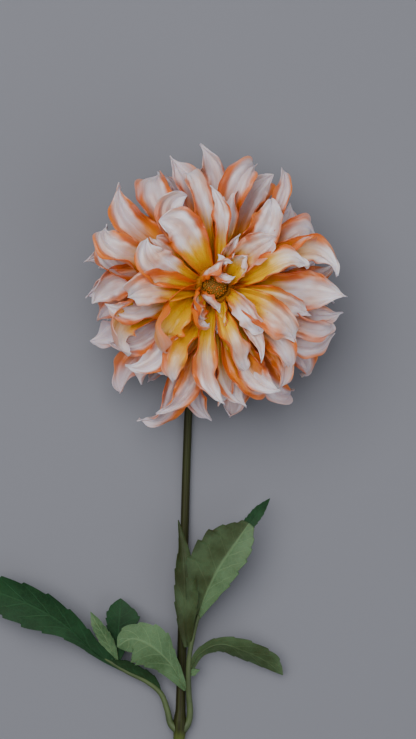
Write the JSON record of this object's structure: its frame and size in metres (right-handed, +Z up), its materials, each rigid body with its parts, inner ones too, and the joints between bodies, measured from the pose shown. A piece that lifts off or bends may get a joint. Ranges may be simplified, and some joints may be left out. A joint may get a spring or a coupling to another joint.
{
  "type": "cut dahlia flower",
  "caption": "Cut decorative dahlia lying face up, with curled pale petals edged in orange, a bent stem neck and two toothed compound leaves.",
  "frame": {"origin": "on the surface the flower lies on, under the centre of the whole flower's box", "axes": "+Z is up out of the bloom's face, +Y runs from the cut end of the stem towards the bloom, +X to the right as the bloom is seen from above"},
  "size_m": [0.2158, 0.379, 0.0812],
  "materials": {
    "petal": "soft petal, matt, faintly translucent",
    "disc": "matt, grainy",
    "calyx": "smooth green, matt",
    "stem": "smooth, faint sheen",
    "leaf_underside": "matt grey-green with raised veins",
    "leaf": "soft sheen, sunken veins"
  },
  "bodies": {
    "root": {"petals": "petal", "disc_florets": "disc", "calyx": "calyx", "stem": "stem", "leaf_right": "leaf_underside", "leaf_left": "leaf"}
  },
  "joints": []
}
